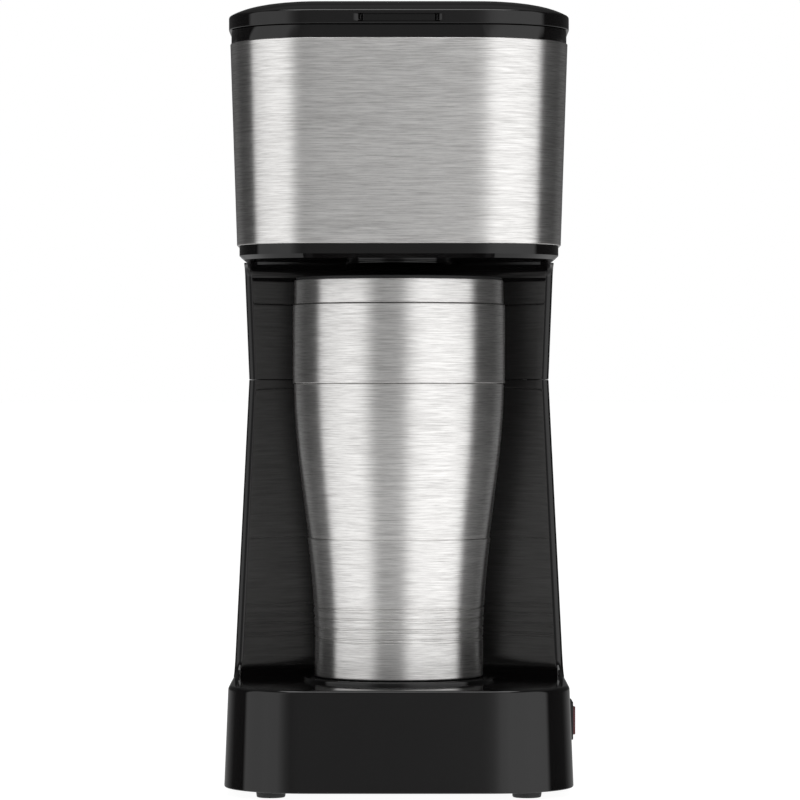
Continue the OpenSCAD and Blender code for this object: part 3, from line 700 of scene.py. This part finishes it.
def upper_column(bm):
    """Upper half of the column, with its hollow front blended into the head."""
    low = WAIST_Z + SEAM
    blend_start, first = HEAD_Z - HEAD_BLEND, low + SEAM_EDGE_END

    def at(z, inset=0.0, ring_z=None):
        t = min(1, max(0, (z - blend_start) / HEAD_BLEND))
        share = (z - WAIST_Z) / (HEAD_Z - WAIST_Z)
        out = WAIST_OUT + (COLUMN_HIGH_OUT - WAIST_OUT) * share
        niche_r = NICHE_R + (NICHE_HIGH_R - NICHE_R) * share
        return column_ring(ring_z or z, out, niche_r - HEAD_BLEND * fillet_share(t), inset)

    rings = [at(blend_start, WALL), at(low, WALL)]
    rings += [at(low + up, inset) for inset, up in SEAM_EDGE]
    rings += [at(first + (blend_start - first) * k / 5) for k in range(6)]
    rings += [at(HEAD_Z - HEAD_BLEND * math.cos(math.pi / 2 * k / 8)) for k in range(1, 9)]
    rings += [at(HEAD_Z, 0, FLOOR_Z + 0.2), at(blend_start, WALL, FLOOR_Z + 0.2)]
    add_loft(bm, rings, closed=True)


def head_tub(bm):
    """The head's inside: a stepped tub that the trim ring and the steel wrap fit round."""
    well, plug, low_out, high_out = -24, -6.3, -1.3, 1.2
    step_z, top = STEEL_Z0 + 0.4, STEEL_Z1 - 0.2
    outside = [(well, FLOOR_Z), (plug - 4, FLOOR_Z), (plug, FLOOR_Z), (plug, step_z), (low_out, step_z),
               (high_out, top)]
    inside = [(high_out - WALL, top), (low_out - WALL, step_z + WALL), (plug - WALL, step_z + WALL),
              (plug - WALL, FLOOR_Z + WALL), (well, FLOOR_Z + WALL)]
    add_loft(bm, [ring(out, z) for out, z in outside + inside])


def upper_housing():
    outlet_r, hole_z0, hole_z1 = 6.4, HEAD_Z - 3, HEAD_Z + 10

    def outlet_hole(bm):
        profile = [(0, hole_z0), (outlet_r, hole_z0), (outlet_r, hole_z1), (0, hole_z1)]
        add_lathe(bm, profile, (0, CUP_Y), 48)

    piece("housing_upper", "upper_housing", [upper_column], cut_part=head_tub, cutters=[outlet_hole])


def head_trim():
    """The chamfered ring under the steel wrap."""
    outer, inner, chamfer_in, chamfer_h = -1, -6, 1.8, 1.5
    top = STEEL_Z0 - 0.05
    corners = [(outer - chamfer_in, HEAD_Z, 0.3), (outer, HEAD_Z + chamfer_h, 0.4), (outer, top, 0.3),
               (inner, top, 0), (inner, HEAD_Z, 0.3)]

    def add(bm):
        add_loft(bm, [ring(out, z) for out, z in rounded_profile(corners)], closed=True)

    piece("head_trim", "head_lower_trim", [add])


def wrap_out(z):
    """Outward offset of the steel wrap at height z."""
    return -0.1 + 2.5 * (z - STEEL_Z0) / (STEEL_Z1 - STEEL_Z0)


def steel_wrap():
    edge, sheet = 0.35, 0.8
    low, high = wrap_out(STEEL_Z0), wrap_out(STEEL_Z1)
    profile = quarter_round(low - edge, STEEL_Z0 + edge, edge, -90, 0)
    heights = [STEEL_Z0 + up for up in (1, 20, 40)] + [STEEL_Z1 - down for down in (20, 1)]
    profile += [(wrap_out(z), z) for z in heights]
    profile += quarter_round(high - edge, STEEL_Z1 - edge, edge, 0, 90)
    profile += [(high - sheet, STEEL_Z1), (low - sheet, STEEL_Z0)]

    def add(bm):
        add_loft(bm, [ring(out, z) for out, z in profile], closed=True)

    piece("head_wrap", "steel_wrap", [add])


# ---------- lid of the head ----------

LID_Z0 = mm_box("top_frame")[0].z + 5.0
LID_EDGE_Z, LID_EDGE_R = 288.0, 1.1
CROWN_TOP_Z, CROWN_FLAT_IN = 294.6, 20
LID_BACK_Y = 63.0
LID_OUT = 2.9
SHELL = 2.3
RECESS_HALF_W, RECESS_DEPTH, RECESS_END = 15.5, 2.8, 2.6
RECESS_Z0, RECESS_Z1 = LID_Z0 + 0.9, 286.4
PANEL_FRONT_Y, PANEL_HALF_W = -71.5, 22
HINGE_Y, HINGE_Z = 64.0, 288.5
KNUCKLE_R, KNUCKLE_L, PIN_BORE_R = 2.8, 9.4, 1.27
KNUCKLE_X = (-43.7, 34.3)
EAR_X, EAR_SLOT = (-47.3, -34.3, 30.7, 43.7), 3.6


def crown_z(inset):
    """Height of the lid's crown at a distance in from its edge."""
    inner = max(0, inset - 0.6)
    return LID_EDGE_Z + 4.25 * (1 - math.exp(-inner / 8.5)) + 0.04 * inner


def lid_ring(inset, z, scale=1.0, recess=0.0, inside=False):
    """A level ring of the lid, cut off straight at the back.

    recess is the share of the finger recess's depth. An inside ring keeps a wall behind the recess and
    the back.
    """
    back_y = LID_BACK_Y - (SHELL if inside else 0)
    points = []
    for x, y, nx, ny in HEAD_OUTLINE:
        px, py = (x + nx * (LID_OUT - inset)) * scale, (y + ny * (LID_OUT - inset)) * scale
        if recess and py < -60 and abs(px) < RECESS_HALF_W:
            across = min(1, (RECESS_HALF_W - abs(px)) / RECESS_END)
            py += RECESS_DEPTH * recess * across * across * (3 - 2 * across)
        if inside and abs(px) < PANEL_HALF_W:
            py = max(py, PANEL_FRONT_Y)
        points.append((px, min(py, back_y), z))
    return points


def lid_shell(bm):
    """The lid from the rim inside it, under its edge, up the wall with the recess and over the crown."""
    foot_r, under = 0.35, SHELL + 0.6
    inner = [(SHELL + i, crown_z(i) - under) for i in (CROWN_FLAT_IN, 12, 4)]
    inner += [(SHELL + 0.5, LID_EDGE_Z - SHELL), (SHELL, LID_Z0 + 1), (SHELL, LID_Z0)]
    rings = [lid_ring(i, z, inside=True) for i, z in inner]
    rings += [lid_ring(i, z) for i, z in quarter_round(foot_r, LID_Z0 + foot_r, foot_r, 270, 180, 3)]
    rings += [lid_ring(0, RECESS_Z0 - 0.1)]
    rings += [lid_ring(0, RECESS_Z0 + 0.15 * k, recess=k / 3) for k in (1, 2, 3)]
    rings += [lid_ring(0, z, recess=1) for z in spread(RECESS_Z0 + 0.7, RECESS_Z1 - 0.2, 4)]
    recess_top = ((-0.12, 1), (-0.02, 0.4), (0.05, 0))
    rings += [lid_ring(0, RECESS_Z1 + up, recess=share) for up, share in recess_top]
    rings += [lid_ring(LID_EDGE_R * (1 - math.cos(a)), LID_EDGE_Z - LID_EDGE_R * (0.9 - math.sin(a)))
              for a in spread(0, math.radians(70), 7)]
    rings += [lid_ring(i, crown_z(i)) for i in (0.8, 1.3, 2, 3, 4.5, 6.5, 9, 12, 15, 18.2, CROWN_FLAT_IN)]
    flat_z = crown_z(CROWN_FLAT_IN)
    rings += [lid_ring(CROWN_FLAT_IN, flat_z + (CROWN_TOP_Z - flat_z) * (1 - f * f), scale=f)
              for f in (0.9, 0.75, 0.6, 0.45, 0.3, 0.15, 0.05)]
    add_loft(bm, rings)


def lid_knuckles(bm):
    corners = [(PIN_BORE_R, 0, 0.15), (KNUCKLE_R, 0, 0.3), (KNUCKLE_R, KNUCKLE_L, 0.3),
               (PIN_BORE_R, KNUCKLE_L, 0.15)]
    for x in KNUCKLE_X:
        add_lathe(bm, rounded_profile(corners, steps=3), (HINGE_Y, HINGE_Z), 40, "x", x)


def lid_cover():
    def ear_slots(bm):
        for x in EAR_X:
            low = (x, HINGE_Y - KNUCKLE_R - 0.3, LID_Z0 - 1)
            add_block(bm, low, (x + EAR_SLOT, HINGE_Y + 8, LID_Z0 + 20))

    def pin_bores(bm):
        length = KNUCKLE_L + 0.2
        profile = [(0, 0), (PIN_BORE_R, 0), (PIN_BORE_R, length), (0, length)]
        for x in KNUCKLE_X:
            add_lathe(bm, profile, (HINGE_Y, HINGE_Z), 40, "x", x - 0.1)

    piece("lid_top", "lid_cover", [lid_knuckles], 40.0, cut_part=lid_shell, cutters=[ear_slots, pin_bores])


# ---------- round pieces of the machine ----------

def mug_rest():
    """A low disc with four rings cut into its top."""
    top, bottom = mm_box("mug_rest")[1].z, DECK_Z - 0.1
    disc_r, ring_depth = 36, 0.4
    corners = [(0, bottom), (disc_r, bottom, 0), (disc_r, top, 0.45)]
    for r in (33.6, 26.6, 18.6, 10.6):
        corners += [(r + 0.5, top, 0.12), (r + 0.25, top - ring_depth, 0.1),
                    (r - 0.25, top - ring_depth, 0.1), (r - 0.5, top, 0.12)]
    turned_piece("mug_rest_disc", "mug_rest", rounded_profile(corners + [(0, top)], steps=3), 192)


def drip_outlet():
    """A shallow dish with a hole through its middle."""
    low, high = mm_box("drip_outlet")
    bore_r, mouth_r, flat_r, dish_r = 7, 9, 17, 20
    corners = [(bore_r, high.z, 0), (bore_r, low.z + 0.4, 0.15), (mouth_r, low.z, 0.4), (flat_r, low.z, 0.8),
               (dish_r, low.z + 0.8, 0.35), (dish_r, high.z, 0)]
    turned_piece("outlet_dish", "drip_outlet", rounded_profile(corners), 128)


def rubber_feet():
    """Four feet, each with a stem and a barbed end that holds it in the bottom cover."""
    foot_r, stem_r, barb_r = 5.7, 2.6, 3.2
    corners = [(0, 0), (foot_r - 0.5, 0, 0.5), (foot_r, FOOT_H + 0.2, 0.15), (stem_r, FOOT_H + 0.2, 0),
               (stem_r, FOOT_H + 2.8, 0), (barb_r, FOOT_H + 2.8, 0.2), (barb_r - 1, FOOT_H + 4, 0.3),
               (0, FOOT_H + 4)]
    profile = rounded_profile(corners)

    def add(bm):
        for x in (-47, 47):
            for y in (-63, 63):
                add_lathe(bm, profile, (x, y), 56)

    piece("feet", "rubber_feet", [add])


def cable_gland():
    """A flanged sleeve through the base's back."""
    low, high = mm_box("cable_gland")
    at = middle("cable_gland")
    flange_y = high.y - 1.6
    bore_r, thread_r, flange_r = 3.5, 6, 8
    corners = [(bore_r, low.y, 0.2), (thread_r, low.y, 0.3), (thread_r, flange_y, 0),
               (flange_r, flange_y, 0.1), (flange_r, high.y, 0.6), (bore_r + 0.9, high.y, 0.3),
               (bore_r, high.y - 0.8, 0.3)]
    turned_piece("gland", "cable_gland", rounded_profile(corners, steps=5), 72, (at.x, at.z), "y")


# ---------- tumbler ----------

CUP_LOW_R, CUP_HIGH_R = 31.7, 39.55
CUP_SEAM_Z = 93.9
CUP_WALL, LINER_GAP, LINER_WALL = 1.25, 3.0, 0.9
GROOVES = (56.8, 60.6, 64.4, 68.1)
NECK_R = 36.8
CUP_SEGMENTS = 224


def cup_radius(z):
    """Radius of the tumbler's outside; the part below the seam stands slightly proud."""
    start, span = (58, 96) if z > CUP_SEAM_Z else (54, 99)
    share = min(1, max(0, (z - start) / span))
    return CUP_LOW_R + (CUP_HIGH_R - CUP_LOW_R) * (1 - math.cos(math.pi * share)) / 2


def cup_points(z, end, step):
    """Points up the tumbler's outside from z to just below end."""
    found = []
    while z < end:
        found.append((cup_radius(z), z))
        z += step
    return found


def groove_points(z):
    """A rolled ring: a groove and a finer line just under it."""
    r = cup_radius(z)
    fine = [(r, z - 1.45), (r - 0.16, z - 1.3), (r - 0.16, z - 1.15), (r, z - 1.0)]
    deep = [(r, z - 0.45), (r - 0.3, z - 0.2), (r - 0.34, z), (r - 0.3, z + 0.2), (r, z + 0.42)]
    return fine + deep


def seam_points():
    """The fine step between the tumbler's upper and lower parts."""
    return [(cup_radius(CUP_SEAM_Z + at) - depth, CUP_SEAM_Z + height)
            for at, depth, height in ((-0.3, 0, -0.25), (0, 0.14, -0.02), (0.1, 0.12, 0.1), (0.3, 0, 0.4))]


def tumbler_shell():
    bottom, top = mm_box("tumbler_shell")[0].z, mm_box("tumbler_collar")[0].z - 0.2
    low_edge, top_edge = 0.5, 0.3
    profile = quarter_round(cup_radius(bottom) - low_edge, bottom + low_edge, low_edge, -90, 0)
    z = bottom + 1.6
    for groove in GROOVES:
        profile += cup_points(z, groove - 1.8, 1.6) + groove_points(groove)
        z = groove + 0.9
    profile += cup_points(z, CUP_SEAM_Z - 0.4, 1.8) + seam_points()
    profile += cup_points(CUP_SEAM_Z + 1.6, top - 1, 1.9)
    profile += quarter_round(cup_radius(top) - top_edge, top - top_edge, top_edge, 0, 90)
    profile += [(cup_radius(z) - CUP_WALL, z) for z in (top, 140, 128, 116, 104, 96, 84, 72, 60, 48)]
    profile += [(cup_radius(bottom) - CUP_WALL + 0.15, bottom)]
    turned_piece("tumbler_wall", "tumbler_shell", profile, CUP_SEGMENTS, sharp_deg=28.0)


def tumbler_liner():
    """The inner wall, which follows the outer one up to the straight neck."""
    low, high = mm_box("tumbler_liner")
    shoulder_z = 150.2
    outside = [(cup_radius(z) - LINER_GAP, z) for z in (48.4, 56, 68, 80, 92, 104, 116, 128, 140, 149.5)]
    outside = [(0, low.z)] + outside + [(NECK_R, shoulder_z), (NECK_R, high.z)]
    inside = [(cup_radius(z) - LINER_GAP - LINER_WALL, z) for z in (149, 140, 128, 116, 104, 92, 80, 68, 56)]
    inside = [(NECK_R - 0.8, high.z), (NECK_R - 0.8, shoulder_z + 0.2)] + inside
    inside += [(CUP_LOW_R - 4.2, 52), (CUP_LOW_R - 6, 49.8), (CUP_LOW_R - 9, 49.2), (0, 49.2)]
    turned_piece("tumbler_liner_wall", "tumbler_liner", outside + inside, CUP_SEGMENTS)


def tumbler_collar():
    low, high = mm_box("tumbler_collar")
    r = (high.x - low.x) / 2
    sheet, lip_r, lip_h = 1, 36.9, 1.4
    corners = [(r, low.z, 0.3), (r, high.z, 0.35), (lip_r, high.z, 0.3), (lip_r, high.z - lip_h, 0.1),
               (r - sheet, high.z - lip_h, 0.1), (r - sheet, low.z, 0.1)]
    turned_piece("tumbler_collar_band", "tumbler_collar", rounded_profile(corners), CUP_SEGMENTS)


def tumbler_base():
    """The round bottom, hollowed a little underneath."""
    low, high = mm_box("tumbler_base")
    r = (high.x - low.x) / 2
    hollow_r = 24
    corners = [(0, low.z + 1), (hollow_r, low.z + 1, 0.3), (hollow_r + 0.6, low.z, 0.4), (r, low.z, 0.15),
               (r, high.z, 0), (0, high.z)]
    turned_piece("tumbler_base_cap", "tumbler_base", rounded_profile(corners), 128)


def tumbler_skirt():
    low, high = mm_box("tumbler_skirt")
    r = (high.x - low.x) / 2
    corners = [(r, low.z, 0.3), (r, high.z, 0.45), (r - 1, high.z, 0.1), (r - 1, low.z, 0.2)]
    turned_piece("tumbler_skirt_band", "tumbler_skirt", rounded_profile(corners), CUP_SEGMENTS)


def tumbler_cap():
    """The lid's disc and the plug under it, which holds the gasket between a rib and a shoulder."""
    low, high = mm_box("tumbler_cap")
    rim_z = mm_box("tumbler_skirt")[1].z + 0.05
    disc_z, under_z, plug_z, shoulder_z = 189.6, 187.5, 178, 186
    plug = [(0, under_z), (32.4, under_z, 0.6), (32.4, low.z, 0.4), (34.2, low.z, 0.6)]
    rib_z0, rib_z1 = low.z + 2.4, low.z + 3.8
    rib = [(34.2, rib_z0, 0), (35.4, rib_z0, 0.3), (35.4, rib_z1, 0.3), (34.2, rib_z1, 0)]
    shoulder = [(34.2, plug_z, 0), (35.6, plug_z, 0.3), (35.6, shoulder_z, 0), (38.3, shoulder_z, 0.2)]
    rim = [(38.3, rim_z, 0), (38.8, rim_z, 0), (38.8, high.z, 0.4), (36.6, high.z, 0.4), (36.2, disc_z, 0.6)]
    profile = rounded_profile(plug + rib + shoulder + rim + [(0, disc_z)])
    sip_hole, vent_hole = (-25, 3.2), (24, 1.0)

    def holes_and_hole_shade(bm):
        for y, r in (sip_hole, vent_hole):
            add_lathe(bm, [(0, 180), (r, 180), (r, 200), (0, 200)], (0, CUP_Y + y), 40)

    def disc(bm):
        add_lathe(bm, profile, (0, CUP_Y), CUP_SEGMENTS)

    piece("tumbler_cap_disc", "tumbler_cap", [], cut_part=disc, cutters=[holes_and_hole_shade])


# ---------- CAD nodes that keep their own shape ----------

def dress_cad_nodes():
    """Gives every CAD node that is still shown its slot's finish, and a small bevel where edges are seen."""
    bevelled = {"top_frame": 0.25, "switch_frame": 0.3, "switch_rocker": 0.45, "bottom_cover": 0.3,
                "drink_slider": 0.3, "lid_panel": 0.25, "shower_plate": 0.2}
    for name, obj in frame["nodes"].items():
        if obj.hide_render:
            continue
        obj.data.materials.clear()
        obj.data.materials.append(FINISHES[SLOT_OF[name]])
        if name in bevelled:
            weld = obj.modifiers.new("weld", "WELD")
            weld.merge_threshold = 2e-6
            bevel = obj.modifiers.new("bevel", "BEVEL")
            bevel.width = bevelled[name] * MM
            bevel.segments = 3
            bevel.limit_method = "ANGLE"
            bevel.angle_limit = math.radians(38)
            bevel.harden_normals = True


# ---------- stage, light and camera, in metres ----------

CAMERA_Y, CAMERA_Z = -1.611, 0.1482
LENS_MM, SENSOR_MM = 189.6, 36.0
SHIFT_X, SHIFT_Y = 0.00135, -0.0079
FLOOR_RADIUS, FLOOR_GREY, FLOOR_GLOW = 60, 0.35, 0.94
TOP_LIGHT_AT, TOP_LIGHT_SIZE, TOP_LIGHT_WATTS = (0, -0.25, 1.5), (1.2, 0.9), 9.0


def add_camera():
    data = bpy.data.cameras.new("camera")
    data.lens, data.sensor_width = LENS_MM, SENSOR_MM
    data.shift_x, data.shift_y = SHIFT_X, SHIFT_Y
    cam = bpy.data.objects.new("camera", data)
    cam.location = (0, CAMERA_Y, CAMERA_Z)
    cam.rotation_euler = (math.pi / 2, 0, 0)
    bpy.context.scene.collection.objects.link(cam)
    bpy.context.scene.camera = cam


def add_floor():
    """A pale floor that glows softly, so it stays white with a faint contact shadow."""
    bm = bmesh.new()
    bmesh.ops.create_circle(bm, cap_ends=True, radius=FLOOR_RADIUS, segments=96)
    floor = new_mesh_object("floor", bm)
    mat = bpy.data.materials.new("floor_white")
    mat.use_nodes = True
    shader = mat.node_tree.nodes["Principled BSDF"]
    shader.inputs["Base Color"].default_value = (FLOOR_GREY, FLOOR_GREY, FLOOR_GREY, 1)
    shader.inputs["Roughness"].default_value = 0.9
    shader.inputs["Specular IOR Level"].default_value = 0
    shader.inputs["Emission Color"].default_value = (1, 1, 1, 1)
    shader.inputs["Emission Strength"].default_value = FLOOR_GLOW
    floor.data.materials.append(mat)
    floor.visible_glossy = False


# Radiance of the studio: round the horizon, in degrees from the front towards +X, and by the height of the
# direction, from -1 straight down to 1 straight up.
ROUND_STOPS = (
    (-180, 0.05), (-101, 0.04), (-95, 0.78), (-75, 0.88), (-60, 0.98), (-42, 0.96), (-30, 0.42), (-23, 0.27),
    (-12, 0.31), (1, 0.32), (8, 0.56), (15, 0.95), (27, 1.12), (60, 1.12), (75, 1.04), (85, 0.95),
    (92, 0.04), (180, 0.05))
ROUND_HEIGHTS = ((-1, 0), (-0.75, 0), (-0.45, 1), (0.62, 1), (0.78, 0), (1, 0))
TABLE_STOPS = ((-180, 0.24), (-145, 0.16), (-126, 0), (126, 0), (145, 0.16), (180, 0.24))
TABLE_HEIGHTS = ((-1, 0), (-0.75, 0), (-0.45, 1), (-0.03, 1), (0.02, 0.1), (0.2, 0), (1, 0))
TOP_HEIGHTS = ((-1, 0), (0.5, 0), (0.75, 0.12), (1, 0.12))
BOTTOM_HEIGHTS = ((-1, 0.6), (-0.6, 0.6), (-0.2, 0), (1, 0))


def add_world():
    """White to the camera; to everything else two tall softboxes, a dim front and dark sides and back."""
    world = bpy.data.worlds.new("studio")
    world.use_nodes = True
    bpy.context.scene.world = world
    nodes, links = world.node_tree.nodes, world.node_tree.links
    nodes.clear()

    def math_node(operation, a, b=None):
        node = nodes.new("ShaderNodeMath")
        node.operation = operation
        for k, value in enumerate((a, b)):
            if isinstance(value, (int, float)):
                node.inputs[k].default_value = value
            elif value is not None:
                links.new(value, node.inputs[k])
        return node.outputs[0]

    def curve(value, low, high, stops):
        """Value from a ramp whose stops are (place, level), scaled so that levels up to 2 fit."""
        spread_node = nodes.new("ShaderNodeMapRange")
        links.new(value, spread_node.inputs["Value"])
        spread_node.inputs["From Min"].default_value = low
        spread_node.inputs["From Max"].default_value = high
        ramp = nodes.new("ShaderNodeValToRGB")
        links.new(spread_node.outputs[0], ramp.inputs[0])
        elements = ramp.color_ramp.elements
        while len(elements) > 1:
            elements.remove(elements[0])
        for k, (place, level) in enumerate(stops):
            at = (place - low) / (high - low)
            if k:
                stop = elements.new(at)
            else:
                stop = elements[0]
                stop.position = at
            stop.color = (level / 2, level / 2, level / 2, 1)
        return math_node("MULTIPLY", ramp.outputs[0], 2)

    direction = nodes.new("ShaderNodeTexCoord").outputs["Generated"]
    split = nodes.new("ShaderNodeSeparateXYZ")
    links.new(direction, split.inputs[0])
    height = split.outputs["Z"]
    azimuth = math_node("ARCTAN2", split.outputs["X"], math_node("MULTIPLY", split.outputs["Y"], -1))
    degrees = math_node("DEGREES", azimuth)

    def by_height(stops):
        return curve(height, -1, 1, stops)

    def by_turn(stops):
        return curve(degrees, -180, 180, stops)

    around = math_node("MULTIPLY", by_turn(ROUND_STOPS), by_height(ROUND_HEIGHTS))
    table = math_node("MULTIPLY", by_turn(TABLE_STOPS), by_height(TABLE_HEIGHTS))
    ends = math_node("ADD", by_height(TOP_HEIGHTS), by_height(BOTTOM_HEIGHTS))
    glow = math_node("ADD", math_node("ADD", around, table), ends)
    path = nodes.new("ShaderNodeLightPath")
    seen = nodes.new("ShaderNodeMix")
    links.new(path.outputs["Is Camera Ray"], seen.inputs[0])
    links.new(glow, seen.inputs[2])
    seen.inputs[3].default_value = 1.0
    background = nodes.new("ShaderNodeBackground")
    background.inputs["Color"].default_value = (1, 1, 1, 1)
    links.new(seen.outputs[0], background.inputs["Strength"])
    output = nodes.new("ShaderNodeOutputWorld")
    links.new(background.outputs[0], output.inputs[0])


def add_top_light():
    """A large soft light above, for the glints on upper edges."""
    data = bpy.data.lights.new("top_soft", "AREA")
    data.shape = "RECTANGLE"
    data.size, data.size_y = TOP_LIGHT_SIZE
    data.energy = TOP_LIGHT_WATTS
    light = bpy.data.objects.new("top_soft", data)
    light.location = TOP_LIGHT_AT
    bpy.context.scene.collection.objects.link(light)


def build_pieces():
    for make in (lower_housing, upper_housing, head_trim, steel_wrap, lid_cover, mug_rest, drip_outlet,
                 rubber_feet, cable_gland, tumbler_shell, tumbler_liner, tumbler_collar, tumbler_base,
                 tumbler_skirt, tumbler_cap):
        make()
    dress_cad_nodes()


bpy.context.scene.view_settings.view_transform = "Standard"
add_camera()
add_world()
add_top_light()
add_floor()
build_pieces()
